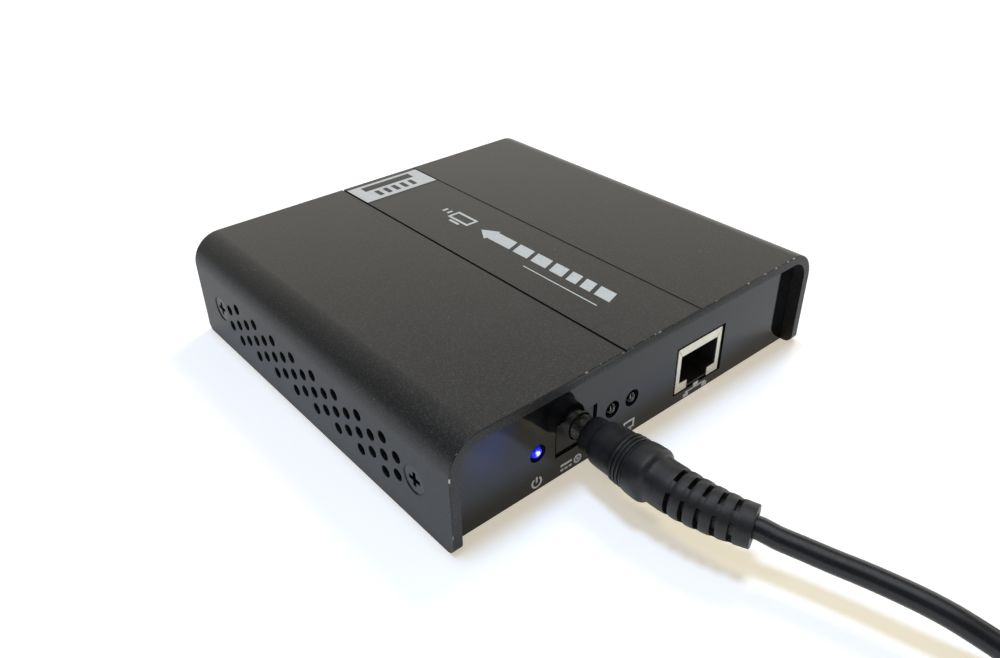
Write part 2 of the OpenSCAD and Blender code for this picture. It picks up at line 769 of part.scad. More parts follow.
module picture_contacts() {
    root_y = picture_face_y - picture_d + picture_back_t;
    color([0.9, 0.75, 0.3])
        for (side = [-1, 1]) {
            count = side > 0 ? 10 : 9;
            for (i = [0 : count - 1]) {
                x = picture_x + (i - (count - 1) / 2) * pad_step;
                z = picture_z + side * (tongue_t + pad_t) / 2;
                between([x - pad_w / 2, root_y, z - pad_t / 2], [x + pad_w / 2, root_y + pad_length, z + pad_t / 2]);
            }
        }
}

module receiver_chip() {
    color([0.1, 0.1, 0.1]) standing([chip_side, chip_side, chip_t], on_board(receiver_at_share));
}

module heatsink() {
    at = on_board(receiver_at_share) + [0, 0, chip_t];
    color([0.15, 0.15, 0.16]) {
        standing([sink_side, sink_side, sink_base], at);
        for (i = [0 : sink_fins - 1])
            standing([fin_t, sink_side, sink_h],
                at + [(i - (sink_fins - 1) / 2) * (sink_side - fin_t) / (sink_fins - 1), 0, 0]);
    }
}

module network_chip() {
    color([0.1, 0.1, 0.1]) standing([network_side, network_side, network_t], on_board(network_at_share));
}

module network_transformer() {
    color([0.08, 0.08, 0.08]) standing(transformer_size, on_board(transformer_at_share));
}

module power_coils() {
    color([0.3, 0.3, 0.32])
        for (p = coils_at_share) difference() {
            standing([coil_part_side, coil_part_side, coil_part_h], on_board(p));
            translate(on_board(p) + [0, 0, coil_part_h - coil_part_well])
                cylinder(d = coil_part_side - 2 * coil_part_well, h = coil_part_well + cut);
        }
}

module capacitors() {
    r = can_d / 2;
    color([0.8, 0.8, 0.82])
        for (p = capacitors_at_share) translate(on_board(p) + [0, 0, can_base_h]) difference() {
            cylinder(r = r, h = can_h);
            translate([0, 0, can_score_w]) difference() {
                cylinder(r = r + cut, h = can_score_w);
                cylinder(r = r - can_score_w / 2, h = can_score_w);
            }
        }
}

module capacitor_bases() {
    color([0.1, 0.1, 0.1])
        for (p = capacitors_at_share) standing([can_base_side, can_base_side, can_base_h], on_board(p));
}

module crystals() {
    color([0.8, 0.8, 0.8])
        for (p = crystals_at_share) translate(on_board(p))
            linear_extrude(crystal_size[2]) round_rect(crystal_size[0], crystal_size[1], 0.45 * crystal_size[1]);
}

module regulator() {
    at = on_board(regulator_at_share);
    color([0.12, 0.12, 0.12]) {
        standing(regulator_size, at);
        standing(regulator_tab, at + [0, (regulator_size[1] + regulator_tab[1]) / 2, 0]);
    }
}

module memory_chip() {
    color([0.12, 0.12, 0.12]) standing(memory_size, on_board(memory_at_share));
}

module small_parts() {
    color([0.6, 0.5, 0.35])
        for (row = small_rows_share, i = [0 : small_count - 1])
            standing(small_size, on_board([0, row]) + [(i - (small_count - 1) / 2) * small_step, 0, 0]);
}

// Everything on the plug is drawn about its axis, with the nose of the grip at zero
module on_plug() {
    translate([jack_x, nose_y, jack_z]) rotate([-90, 0, 0]) children();
}

module plug_barrel() {
    color([0.75, 0.72, 0.65]) on_plug() difference() {
        translate([0, 0, -barrel_in_grip]) cylinder(r = barrel_r, h = barrel_in_grip + barrel_length - tip_lip);
        translate([0, 0, -barrel_in_grip - cut])
            cylinder(r = barrel_r - barrel_wall, h = barrel_in_grip + barrel_length + cut);
    }
}

module plug_insulator() {
    out_r = barrel_r - barrel_wall - slip;
    color([0.1, 0.1, 0.1]) on_plug() difference() {
        union() {
            translate([0, 0, -barrel_in_grip]) cylinder(r = out_r, h = barrel_in_grip + barrel_length - tip_lip);
            translate([0, 0, barrel_length - tip_lip]) cylinder(r = barrel_r - slip, h = tip_lip);
        }
        translate([0, 0, -barrel_in_grip - cut])
            cylinder(r = contact_out_r + slip, h = barrel_in_grip + barrel_length - contact_back + cut);
        translate([0, 0, 0]) cylinder(r = tip_hole_r, h = barrel_length + cut);
    }
}

module plug_contact() {
    color([0.85, 0.75, 0.4]) on_plug() translate([0, 0, -contact_in_grip]) difference() {
        cylinder(r = contact_out_r, h = contact_in_grip + barrel_length - contact_back);
        translate([0, 0, -cut]) cylinder(d = contact_bore_d, h = contact_in_grip + barrel_length + cut);
    }
}

// One barrel of the strain relief, and the core to the next one
module relief_part(from_s, to_s) {
    r0 = relief_start_r + (relief_end_r - relief_start_r) * from_s / relief_length;
    r1 = relief_start_r + (relief_end_r - relief_start_r) * to_s / relief_length;
    length = to_s - from_s;
    // Each barrel runs back into the one before it, and the last one ends square
    translate(relief_at(from_s)) rotate([90, 0, relief_way((from_s + to_s) / 2)]) {
        cylinder(r1 = r0, r2 = r1, h = length);
        translate([0, 0, -relief_overlap]) cylinder(r = r0, h = 2 * relief_overlap);
    }
}

module relief_slot(s) {
    r = relief_start_r + (relief_end_r - relief_start_r) * s / relief_length;
    translate(relief_at(s)) rotate([90, 0, relief_way(s)]) difference() {
        translate([0, 0, -relief_slot_w / 2]) cylinder(r = r + cut, h = relief_slot_w);
        translate([0, 0, -relief_slot_w / 2 - cut]) difference() {
            cylinder(r = r - relief_slot_depth, h = relief_slot_w + 2 * cut);
            for (i = [0, 1]) rotate(relief_roll + 90 * i) translate([0, 0, relief_slot_w / 2 + cut]) difference() {
                cube([2 * r + 2 * cut, relief_windows[i], relief_slot_w + 3 * cut], center = true);
                cylinder(r = relief_core_r, h = relief_slot_w + 4 * cut, center = true);
            }
        }
    }
}

module plug_grip() {
    color([0.1, 0.1, 0.11]) difference() {
        union() {
            difference() {
                on_plug() rotate([180, 0, 0]) rotate_extrude() polygon(concat([[0, 0]],
                    [for (p = grip_outline_shares) [p[1] * grip_r, p[0] * grip_length]], [[0, grip_length]]));
                for (share = grip_rings_share) on_plug() translate([0, 0, -share * grip_length]) difference() {
                    cylinder(r = grip_r + cut, h = grip_ring_w);
                    cylinder(r = (0.782 + share * 0.29) * grip_r - grip_ring_depth, h = grip_ring_w);
                }
            }
            relief_part(0, relief_neck);
            for (i = [0 : relief_parts - 2])
                relief_part(relief_neck + i * relief_step,
                    i == relief_parts - 2 ? relief_length : relief_neck + (i + 1) * relief_step);
        }
        for (i = [0 : relief_parts - 2]) relief_slot(relief_neck + i * relief_step);
        on_plug() translate([0, 0, -barrel_in_grip - slip])
            cylinder(r = barrel_r + slip, h = barrel_in_grip + slip + cut);
        on_plug() translate([0, 0, -contact_in_grip - slip])
            cylinder(r = contact_out_r + slip, h = contact_in_grip);
    }
}

module power_cord() {
    color([0.07, 0.07, 0.08]) {
        tube(lead_path, cord_r, cord_sides);
        tube(tail_path, cord_r, cord_sides);
    }
}

module power_cord_coil() {
    color([0.07, 0.07, 0.08]) tube(coil_path, cord_r, coil_sides);
}

module cord_tie() {
    w = (coil_turns - 1) * coil_pitch + cord_d + 2 * tie_gap;
    h = coil_pitch + cord_d + 2 * tie_gap;
    color([0.08, 0.08, 0.09]) translate([coil_at[0], coil_at[1], 0]) rotate(tie_angle)
        translate([coil_mean_r, 0, tie_t + h / 2]) rotate([90, 0, 0]) linear_extrude(tie_w, center = true)
            difference() {
                square([w + 2 * tie_t, h + 2 * tie_t], center = true);
                square([w, h], center = true);
            }
}

module on_usb() {
    translate([usb_at[0], usb_at[1], usb_at[2]]) children();
}

module usb_shell() {
    front = -usb_relief_length - usb_grip[1];
    color([0.8, 0.8, 0.8]) on_usb() difference() {
        along_y(front - usb_shell_length, front + usb_shell_in_grip) square([usb_shell_w, usb_shell_h], center = true);
        along_y(front - usb_shell_length - cut, front + usb_shell_in_grip + cut)
            square([usb_shell_w - 2 * usb_shell_t, usb_shell_h - 2 * usb_shell_t], center = true);
    }
}

module usb_insert() {
    front = -usb_relief_length - usb_grip[1];
    inner_w = usb_shell_w - 2 * usb_shell_t;
    inner_h = usb_shell_h - 2 * usb_shell_t;
    color([0.9, 0.9, 0.9]) on_usb() {
        between([-inner_w / 2 + slip, front - usb_shell_length + usb_shell_t, -inner_h / 2 + slip],
            [inner_w / 2 - slip, front, -inner_h / 2 + slip + usb_insert_t]);
        between([-inner_w / 2 + slip, front, -inner_h / 2 + slip],
            [inner_w / 2 - slip, front + usb_shell_in_grip, inner_h / 2 - slip]);
    }
}

module usb_contacts() {
    front = -usb_relief_length - usb_grip[1];
    z = -usb_shell_h / 2 + usb_shell_t + slip + usb_insert_t;
    color([0.9, 0.75, 0.3]) on_usb()
        for (i = [0 : 3]) standing(usb_pad, [(i - 1.5) * usb_pad_step, front - usb_pad[1] / 2 - usb_shell_t, z]);
}

module usb_grip() {
    front = -usb_relief_length - usb_grip[1];
    color([0.1, 0.1, 0.11]) on_usb() difference() {
        union() {
            along_y(front, -usb_relief_length) round_rect(usb_grip[0], usb_grip[2], usb_grip_r);
            translate([0, -usb_relief_length, 0]) rotate([-90, 0, 0])
                cylinder(r1 = usb_relief_r, r2 = cord_r + slip, h = usb_relief_length);
        }
        along_y(front - cut, front + usb_shell_in_grip + slip)
            square([usb_shell_w + 2 * slip, usb_shell_h + 2 * slip], center = true);
    }
}

echo(cord_length = path_length(lead_path) + path_length(coil_path) + path_length(tail_path));
echo(coil_least_gap = coil_least());

top_cover();
cover_screws();
top_label();
base_tray();
front_film();
rear_film();
board_spacers();
board_screws();
circuit_board();
jack_body();
jack_pin();
jack_spring();
net_shield();
net_insert();
net_contacts();
power_lamp();
status_lamps();
lamp_holders();
lamp_legs();
picture_shell();
picture_tongue();
picture_contacts();
receiver_chip();
heatsink();
network_chip();
network_transformer();
power_coils();
capacitors();
capacitor_bases();
crystals();
regulator();
memory_chip();
small_parts();
plug_barrel();
plug_insulator();
plug_contact();
plug_grip();
power_cord();
power_cord_coil();
cord_tie();
usb_shell();
usb_insert();
usb_contacts();
usb_grip();
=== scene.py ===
import math

import bmesh
import bpy
from mathutils import Matrix, Vector


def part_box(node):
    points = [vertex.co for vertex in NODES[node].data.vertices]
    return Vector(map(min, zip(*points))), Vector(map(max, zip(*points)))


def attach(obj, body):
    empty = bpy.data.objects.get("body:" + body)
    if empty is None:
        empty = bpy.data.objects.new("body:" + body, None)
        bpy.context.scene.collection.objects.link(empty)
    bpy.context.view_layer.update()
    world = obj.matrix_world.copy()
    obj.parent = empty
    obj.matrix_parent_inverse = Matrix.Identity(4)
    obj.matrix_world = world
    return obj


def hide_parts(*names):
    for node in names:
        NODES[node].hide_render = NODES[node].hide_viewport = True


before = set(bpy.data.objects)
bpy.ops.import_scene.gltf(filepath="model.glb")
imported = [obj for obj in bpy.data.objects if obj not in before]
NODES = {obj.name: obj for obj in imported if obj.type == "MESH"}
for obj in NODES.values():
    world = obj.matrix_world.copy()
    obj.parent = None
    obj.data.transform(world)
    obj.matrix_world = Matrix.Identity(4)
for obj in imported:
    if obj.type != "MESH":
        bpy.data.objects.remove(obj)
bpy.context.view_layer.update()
MM = 0.001
scene = bpy.context.scene


def mm(x, y, z):
    return Vector((x, y, z)) * MM


def linked(name, data):
    """New object in the scene."""
    obj = bpy.data.objects.new(name, data)
    scene.collection.objects.link(obj)
    return obj


# Camera, as solved from the photo
CAMERA_AT = (-112.158, -136.322, 115.512)
CAMERA_AZIMUTH, CAMERA_TILT, CAMERA_ROLL = 39.700, 32.896, -1.082
LENS, SENSOR = 30.84, 36.0


def add_camera():
    """Camera that heads CAMERA_AZIMUTH degrees from +y towards +x, and CAMERA_TILT down."""
    azimuth, tilt, roll = map(math.radians, (CAMERA_AZIMUTH, CAMERA_TILT, CAMERA_ROLL))
    ahead = Vector((math.sin(azimuth) * math.cos(tilt), math.cos(azimuth) * math.cos(tilt),
                    -math.sin(tilt)))
    level = Vector((math.cos(azimuth), -math.sin(azimuth), 0.0))
    over = level.cross(ahead)
    right = math.cos(roll) * level + math.sin(roll) * over
    up = math.cos(roll) * over - math.sin(roll) * level
    data = bpy.data.cameras.new("camera")
    data.sensor_fit = "HORIZONTAL"
    data.sensor_width = SENSOR
    data.lens = LENS
    data.clip_start = 0.005
    camera = linked("camera", data)
    turn = Matrix((right, up, -ahead)).transposed().to_4x4()
    camera.matrix_world = Matrix.Translation(mm(*CAMERA_AT)) @ turn
    scene.camera = camera


add_camera()

# Route of the lead, in mm as in the CAD
CORD_D = 4.1
CORD_STEP = 1.6
PIN_LOW, PIN_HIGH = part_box("jack_pin")
JACK = ((PIN_LOW.x + PIN_HIGH.x) / 2 / MM, (PIN_LOW.z + PIN_HIGH.z) / 2 / MM)
NOSE_Y = -49.6
GRIP_LENGTH = 18.0
RELIEF_LENGTH = 17.6
RELIEF_BEND = math.radians(21.6)
RELIEF_ARC_R = RELIEF_LENGTH / RELIEF_BEND
COIL_AT = (31.0, -146.0)
COIL_TURNS = 4
COIL_PITCH = 4.6
COIL_IN_R = 12.8
COIL_START, COIL_END = 195.0, 165.0
COIL_Z = 2.65
COIL_TOTAL = 2 * COIL_TURNS - (COIL_START - COIL_END) / 360.0
COIL_STEPS = 40
LEAD_POINTS = [(-13.6, -88.4, 8.8), (-12.3, -92.2, 8.55), (-10.9, -97.0, 8.42),
               (-9.6, -101.6, 8.48), (-8.5, -106.0, 8.47), (-7.4, -110.5, 8.3),
               (-6.3, -114.8, 7.7), (-5.1, -119.2, 6.5), (-4.0, -124.0, 5.2),
               (-3.2, -129.0, 4.1), (-2.6, -134.5, 3.2), (-1.8, -140.5, 2.7), (-0.8, -147.0, 2.6)]
TAIL_POINTS = [(-0.9, -145.5, 7.1), (-2.1, -149.5, 6.8), (-3.2, -154.0, 6.0),
               (-4.1, -158.5, 5.0), (-4.6, -162.5, 4.3), (-4.7, -167.0, 4.0)]
USB_AT = (-4.7, -171.0, 4.0)


def relief_at(s):
    """Place on the strain relief's axis and the way it heads, s mm behind its start."""
    a = RELIEF_BEND * s / RELIEF_LENGTH
    place = Vector((JACK[0] + RELIEF_ARC_R * (1 - math.cos(a)),
                    NOSE_Y - GRIP_LENGTH - RELIEF_ARC_R * math.sin(a), JACK[1]))
    return place, Vector((math.sin(a), -math.cos(a), 0.0))


def smooth(t):
    """0 below 0 and 1 above 1, with a soft rise between."""
    t = min(max(t, 0.0), 1.0)
    return t * t * (3 - 2 * t)


def coil_point(t):
    """Place on the coil's centre line after t turns: inwards below, then outwards above."""
    a = math.radians(COIL_START + 360 * t)
    r = COIL_IN_R + COIL_PITCH * abs(t - COIL_TURNS)
    z = COIL_Z + COIL_PITCH * smooth((t - COIL_TURNS + 0.25) / 0.5)
    return Vector((COIL_AT[0] + r * math.cos(a), COIL_AT[1] + r * math.sin(a), z))


def coil_way(t):
    """The way that the coil heads after t turns."""
    a = math.radians(COIL_START + 360 * t)
    return Vector((-math.sin(a), math.cos(a), 0.0))


def through(points, step):
    """Points of one smooth curve through the given ones, about a step apart."""
    out = []
    ends = [2 * points[0] - points[1]] + points + [2 * points[-1] - points[-2]]
    for i in range(1, len(ends) - 2):
        p0, p1, p2, p3 = ends[i - 1:i + 3]
        n = max(1, round((p2 - p1).length / step))
        for k in range(n):
            t = k / n
            out.append(0.5 * (2 * p1 + (p2 - p0) * t + (2 * p0 - 5 * p1 + 4 * p2 - p3) * t * t
                              + (3 * p1 - p0 - 3 * p2 + p3) * t ** 3))
    return out + [points[-1]]


exit_place, exit_way = relief_at(RELIEF_LENGTH)
lead_knots = ([exit_place - 1.6 * exit_way, exit_place + 1.0 * exit_way]
              + [Vector(p) for p in LEAD_POINTS]
              + [coil_point(0) - CORD_D * coil_way(0), coil_point(0)])
tail_knots = ([coil_point(COIL_TOTAL), coil_point(COIL_TOTAL) + CORD_D / 2 * coil_way(COIL_TOTAL)]
              + [Vector(p) for p in TAIL_POINTS] + [Vector(USB_AT)])
cord_path = through(lead_knots, CORD_STEP)
cord_path += [coil_point(i / COIL_STEPS) for i in range(1, int(COIL_TOTAL * COIL_STEPS))]
cord_path += through(tail_knots, CORD_STEP)


# Materials
def nodes_of(name):
    """New material, with its nodes, its links and its shader."""
    made = bpy.data.materials.new(name)
    made.use_nodes = True
    tree = made.node_tree
    return made, tree.nodes, tree.links, tree.nodes["Principled BSDF"]


def object_coords(nodes):
    return nodes.new("ShaderNodeTexCoord").outputs["Object"]


def noise(nodes, links, coords, size, detail=3.0):
    """Noise whose grains are about size mm across."""
    made = nodes.new("ShaderNodeTexNoise")
    made.inputs["Scale"].default_value = 1.0 / (size * MM)
    made.inputs["Detail"].default_value = detail
    links.new(coords, made.inputs["Vector"])
    return made.outputs["Fac"]


def mapped(nodes, links, value, low, high, to_low, to_high):
    """The value, taken from the range low to high into the other one."""
    made = nodes.new("ShaderNodeMapRange")
    for key, number in (("From Min", low), ("From Max", high),
                        ("To Min", to_low), ("To Max", to_high)):
        made.inputs[key].default_value = number
    links.new(value, made.inputs["Value"])
    return made.outputs["Result"]


def mixed(nodes, links, share, a, b):
    """Colour a where the share is 0 and b where it is 1. Each is a colour or an output."""
    made = nodes.new("ShaderNodeMix")
    made.data_type = "RGBA"
    links.new(share, made.inputs["Factor"])
    for socket, colour in ((made.inputs[6], a), (made.inputs[7], b)):
        if isinstance(colour, (tuple, list)):
            socket.default_value = (*colour, 1.0)
        else:
            links.new(colour, socket)
    return made.outputs[2]


def combined(nodes, links, operation, a, b):
    """Two values as one, by ADD, MULTIPLY or MAXIMUM."""
    made = nodes.new("ShaderNodeMath")
    made.operation = operation
    links.new(a, made.inputs[0])
    links.new(b, made.inputs[1])
    return made.outputs["Value"]


def distance(nodes, links, coords, place):
    """Distance in metres from a place in mm."""
    made = nodes.new("ShaderNodeVectorMath")
    made.operation = "DISTANCE"
    links.new(coords, made.inputs[0])
    made.inputs[1].default_value = mm(*place)
    return made.outputs["Value"]


def bump(nodes, links, height, depth):
    """Normal of a relief that is depth mm deep."""
    made = nodes.new("ShaderNodeBump")
    made.inputs["Strength"].default_value = 1.0
    made.inputs["Distance"].default_value = depth * MM
    links.new(height, made.inputs["Height"])
    return made.outputs["Normal"]


def surface(name, colour, rough, metallic=0.0, mottle=0.12, mottle_size=3.0, grain=0.0,
            grain_size=0.25, rough_span=0.06, coat=0.0, level=0.5, glow=0.0):
    """Principled material whose colour, gloss and relief vary by noise. Sizes and depths in mm. A
    glow above 0 paints light: the surface gives off its own colour.
    """
    made, nodes, links, shader = nodes_of(name)
    coords = object_coords(nodes)
    broad = noise(nodes, links, coords, mottle_size)
    dark = tuple(c * (1 - mottle) for c in colour)
    light = tuple(min(1.0, c * (1 + mottle)) for c in colour)
    share = mapped(nodes, links, broad, 0.3, 0.7, 0.0, 1.0)
    links.new(mixed(nodes, links, share, dark, light), shader.inputs["Base Color"])
    fine = noise(nodes, links, coords, grain_size, 2.0)
    links.new(mapped(nodes, links, fine, 0.3, 0.7, rough - rough_span, rough + rough_span),
              shader.inputs["Roughness"])
    shader.inputs["Metallic"].default_value = metallic
    shader.inputs["IOR"].default_value = 1.5
    shader.inputs["Coat Weight"].default_value = coat
    shader.inputs["Specular IOR Level"].default_value = level
    shader.inputs["Emission Color"].default_value = (*colour, 1.0)
    shader.inputs["Emission Strength"].default_value = glow
    if grain:
        links.new(bump(nodes, links, fine, grain), shader.inputs["Normal"])
    return made


def cover_material(name, nicks):
    """Dark anodised metal with a fine speckle, and bright worn nicks where asked."""
    made, nodes, links, shader = nodes_of(name)
    coords = object_coords(nodes)
    broad = noise(nodes, links, coords, 14.0, 2.0)
    speck = noise(nodes, links, coords, 0.3, 3.0)
    dust = noise(nodes, links, coords, 0.7, 0.0)
    base = mixed(nodes, links, mapped(nodes, links, broad, 0.3, 0.7, 0.0, 1.0),
                 (0.0085, 0.0082, 0.0076), (0.0115, 0.011, 0.0098))
    base = mixed(nodes, links, mapped(nodes, links, speck, 0.5, 0.72, 0.0, 0.9), base,
                 (0.06, 0.058, 0.052))
    base = mixed(nodes, links, mapped(nodes, links, dust, 0.86, 0.89, 0.0, 0.5), base,
                 (0.22, 0.22, 0.2))
    if nicks:
        wear = mapped(nodes, links, noise(nodes, links, coords, 1.8, 3.0), 0.6, 0.65, 0.0, 1.0)
        base = mixed(nodes, links, wear, base, (0.5, 0.47, 0.42))
        links.new(wear, shader.inputs["Metallic"])
    links.new(base, shader.inputs["Base Color"])
    shader.inputs["IOR"].default_value = 1.5
    links.new(mapped(nodes, links, speck, 0.3, 0.7, 0.36, 0.46), shader.inputs["Roughness"])
    links.new(bump(nodes, links, speck, 0.018), shader.inputs["Normal"])
    return made


def lamp_material(name, x, z):
    """Lit lens: white at its middle, deep blue at its rim."""
    made, nodes, links, shader = nodes_of(name)
    split = nodes.new("ShaderNodeSeparateXYZ")
    links.new(object_coords(nodes), split.inputs["Vector"])
    flat = nodes.new("ShaderNodeCombineXYZ")
    links.new(split.outputs["X"], flat.inputs["X"])
    links.new(split.outputs["Z"], flat.inputs["Z"])
    far = distance(nodes, links, flat.outputs["Vector"], (x, 0.0, z))
    spread = mapped(nodes, links, far, 0.2 * MM, 1.6 * MM, 0.0, 1.0)
    hazy = noise(nodes, links, object_coords(nodes), 0.5, 1.0)
    ramp = nodes.new("ShaderNodeValToRGB")
    ramp.color_ramp.elements[0].color = (1.0, 1.0, 1.0, 1.0)
    ramp.color_ramp.elements[1].color = (0.001, 0.001, 0.06, 1.0)
    for place, colour in ((0.12, (0.5, 0.7, 1.0, 1.0)), (0.26, (0.04, 0.07, 1.0, 1.0)),
                          (0.55, (0.01, 0.012, 0.75, 1.0)), (0.82, (0.004, 0.004, 0.3, 1.0))):
        ramp.color_ramp.elements.new(place).color = colour
    uneven = mapped(nodes, links, hazy, 0.3, 0.7, -0.28, 0.28)
    links.new(combined(nodes, links, "ADD", spread, uneven), ramp.inputs["Fac"])
    links.new(ramp.outputs["Color"], shader.inputs["Emission Color"])
    shader.inputs["Emission Strength"].default_value = 1.0
    shader.inputs["Base Color"].default_value = (0.01, 0.015, 0.15, 1.0)
    shader.inputs["Roughness"].default_value = 0.08
    return made


def lens_material(name):
    """Clear moulded lens, faintly tinted in patches."""
    made, nodes, links, shader = nodes_of(name)
    haze = noise(nodes, links, object_coords(nodes), 2.5, 1.0)
    share = mapped(nodes, links, haze, 0.3, 0.7, 0.0, 1.0)
    links.new(mixed(nodes, links, share, (0.78, 0.8, 0.8), (0.88, 0.9, 0.9)),
              shader.inputs["Base Color"])
    shader.inputs["Roughness"].default_value = 0.03
    shader.inputs["Transmission Weight"].default_value = 1.0
    shader.inputs["IOR"].default_value = 1.45
    return made


def film_material(name, x, z):
    """Glossy black film, with a painted glow round (x, z) for the faint blue that the lit lamp
    throws on it.
    """
    made = surface(name, (0.006, 0.0064, 0.0072), 0.07, mottle=0.3, mottle_size=9.0,
                   grain=0.0008, grain_size=0.35, rough_span=0.03)
    nodes, links = made.node_tree.nodes, made.node_tree.links
    far = distance(nodes, links, object_coords(nodes), (x, FACE, z))
    near = mapped(nodes, links, far, 0.5 * MM, 7.5 * MM, 1.0, 0.0)
    shader = nodes["Principled BSDF"]
    # Painted light: the film gives off blue near the lamp
    links.new(mixed(nodes, links, near, (0.0, 0.0, 0.0), (0.001, 0.005, 0.052)),
              shader.inputs["Emission Color"])
    shader.inputs["Emission Strength"].default_value = 1.0
    return made


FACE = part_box("front_film")[0].y / MM
LAMP_LOW, LAMP_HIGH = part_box("power_lamp")
LAMP_X, LAMP_Z = (LAMP_LOW.x + LAMP_HIGH.x) / 2 / MM, (LAMP_LOW.z + LAMP_HIGH.z) / 2 / MM
# Where the painted blue glow on the panel is brightest, in mm across and up
PAINTED_BLUE_GLOW_AT = (-41.0, 17.0)

M = {
    "cover": cover_material("anodised_cover_face", False),
    "cover_edge": cover_material("anodised_cover_edge", True),
    "screw": surface("screw_black", (0.012, 0.012, 0.012), 0.28, grain=0.003, grain_size=0.2,
                     rough_span=0.04),
    "label": surface("label_foil", (0.66, 0.66, 0.62), 0.42, metallic=0.15, mottle=0.06,
                     mottle_size=5.0, grain=0.003),
    "tray": surface("tray_paint", (0.022, 0.022, 0.023), 0.45, grain=0.008, grain_size=0.3),
    "film": film_material("panel_film", *PAINTED_BLUE_GLOW_AT),
    "rear_film": surface("rear_panel_film", (0.006, 0.0062, 0.0068), 0.1, mottle=0.3,
                         mottle_size=9.0, grain=0.001, grain_size=0.35, rough_span=0.03),
    "tin": surface("plated_tin", (0.8, 0.75, 0.62), 0.3, metallic=1.0, mottle=0.06,
                   mottle_size=2.0, grain=0.003, grain_size=0.3),
    "brass": surface("spacer_brass_face", (0.62, 0.5, 0.27), 0.3, metallic=1.0, mottle=0.08),
    "board": surface("board_mask", (0.012, 0.13, 0.06), 0.28, mottle=0.15, mottle_size=5.0,
                     grain=0.01, grain_size=0.6, coat=0.4),
    "plastic": surface("black_moulded", (0.01, 0.0098, 0.0095), 0.36, grain=0.005,
                       grain_size=0.3),
    "dark_plastic": surface("dark_insert", (0.028, 0.028, 0.024), 0.4, grain=0.004,
                            grain_size=0.3, level=0.4),
    "gold": surface("gold_plate", (0.78, 0.55, 0.2), 0.22, metallic=1.0, mottle=0.06),
    "lamp": lamp_material("blue_lamp_lens", LAMP_X, LAMP_Z),
    "lens": lens_material("clear_lamp_lens"),
    "chip": surface("chip_epoxy", (0.022, 0.022, 0.022), 0.5, grain=0.008, grain_size=0.2),
    "sink": surface("sink_anodised", (0.035, 0.035, 0.038), 0.4, metallic=0.3, grain=0.006),
    "can": surface("can_aluminium", (0.7, 0.7, 0.72), 0.28, metallic=1.0, mottle=0.05),
    "ferrite": surface("ferrite_grey", (0.09, 0.09, 0.1), 0.55, grain=0.01),
    "ceramic": surface("ceramic_tan", (0.42, 0.31, 0.18), 0.45, mottle=0.2, mottle_size=1.5),
    "barrel": surface("barrel_nickel", (0.66, 0.64, 0.6), 0.28, metallic=1.0, mottle=0.06,
                      mottle_size=5.0, rough_span=0.02),
    "rubber": surface("plug_rubber", (0.017, 0.0167, 0.016), 0.42, mottle=0.3, mottle_size=1.6,
                      grain=0.014, grain_size=0.26, rough_span=0.08),
    "jacket": surface("cord_jacket", (0.011, 0.0112, 0.012), 0.3, mottle=0.25, mottle_size=6.0,
                      grain=0.003, grain_size=0.5),
    "white": surface("white_moulded", (0.75, 0.75, 0.73), 0.4, mottle=0.04, grain=0.004),
    "print": surface("white_print", (0.66, 0.66, 0.61), 0.5, mottle=0.08, mottle_size=0.6),
    # White front print ink, with a faint painted glow that brightens it
    "front_print": surface("front_print_ink_painted_glow", (0.9, 0.9, 0.88), 0.5, mottle=0.05,
                           mottle_size=0.6, glow=0.07),
    "dark_print": surface("dark_print_ink", (0.02, 0.02, 0.02), 0.45, mottle=0.15,
                          mottle_size=0.8),
    "strap": surface("strap_weave", (0.012, 0.012, 0.013), 0.6, mottle=0.3, mottle_size=0.5,
                     grain=0.03, grain_size=0.3),
}


# Pieces
def finished(obj, body, material=None, replaced=()):
    """The piece with its material and body, and the CAD nodes that it replaces."""
    if material is not None:
        obj.data.materials.clear()
        obj.data.materials.append(M[material])
    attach(obj, body)
    if replaced:
        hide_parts(*replaced)
    return obj


def shade(obj, degrees):
    """Smooth faces, with a crease where they meet at more than these degrees."""
    mesh = obj.data
    mesh.polygons.foreach_set("use_smooth", [True] * len(mesh.polygons))
    edit = bmesh.new()
    edit.from_mesh(mesh)
    limit = math.radians(degrees)
    for edge in edit.edges:
        edge.smooth = len(edge.link_faces) == 2 and edge.calc_face_angle(math.pi) < limit
    edit.to_mesh(mesh)
    edit.free()


def new_mesh(name, verts, faces):
    """Object from points in mm and faces."""
    data = bpy.data.meshes.new(name)
    data.from_pydata([Vector(v) * MM for v in verts], [], faces)
    obj = linked(name, data)
    edit = bmesh.new()
    edit.from_mesh(data)
    bmesh.ops.remove_doubles(edit, verts=edit.verts, dist=1e-7)
    bmesh.ops.recalc_face_normals(edit, faces=edit.faces)
    edit.to_mesh(data)
    edit.free()
    return obj


def settled(obj):
    """Applies the object's modifiers."""
    bpy.context.view_layer.update()
    graph = bpy.context.evaluated_depsgraph_get()
    shape = bpy.data.meshes.new_from_object(obj.evaluated_get(graph))
    obj.modifiers.clear()
    old = obj.data
    obj.data = shape
    bpy.data.meshes.remove(old)


def bevelled(obj, width, segments=2, material_index=-1, weighted=False):
    """Rounds the edges that have a bevel weight, or else the sharp ones, by width mm."""
    bevel = obj.modifiers.new("bevel", "BEVEL")
    bevel.width = width * MM
    bevel.segments = segments
    bevel.limit_method = "WEIGHT" if weighted else "ANGLE"
    bevel.angle_limit = math.radians(30.0)
    bevel.use_clamp_overlap = not weighted
    bevel.material = material_index
    bevel.harden_normals = False
    settled(obj)


